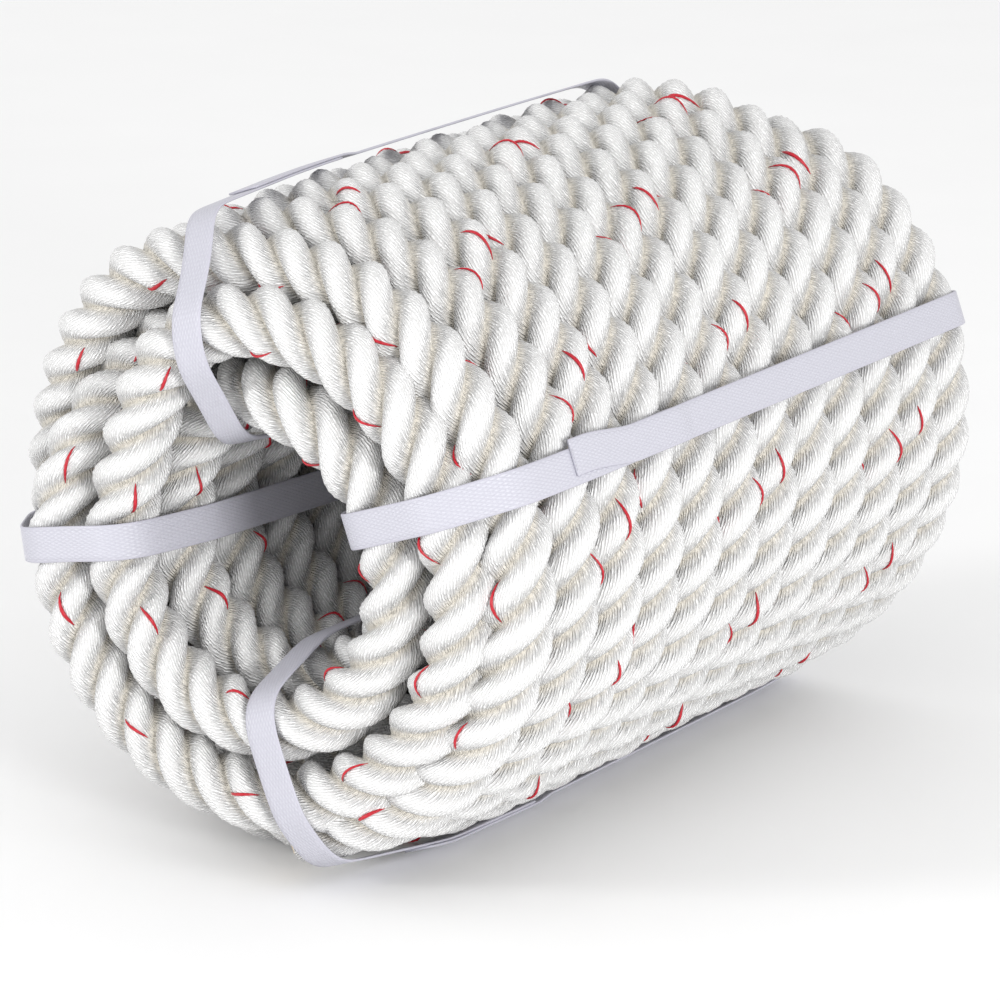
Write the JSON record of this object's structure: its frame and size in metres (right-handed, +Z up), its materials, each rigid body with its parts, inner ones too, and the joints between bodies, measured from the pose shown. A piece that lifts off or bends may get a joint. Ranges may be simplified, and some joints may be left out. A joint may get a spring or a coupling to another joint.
{
  "type": "coiled dock line",
  "caption": "White laid rope with a red tracer yarn, wound in layers into a hollow barrel-shaped coil and held by plastic strapping.",
  "frame": {"origin": "on the resting surface, under the middle of the coil", "axes": "+Z up; +Y along the winding axis, from the front end to the back end; +X to the right seen from the front"},
  "size_m": [0.2225, 0.3012, 0.2185],
  "materials": {
    "rope": "glossy white nylon filament, laid",
    "strapping": "embossed polypropylene strapping, satin"
  },
  "bodies": {
    "root": {"rope_inner_layer": "rope", "rope_middle_layer": "rope", "rope_outer_layer": "rope", "strap_right": "strapping", "strap_top": "strapping", "strap_left": "strapping", "strap_bottom": "strapping"}
  },
  "joints": []
}
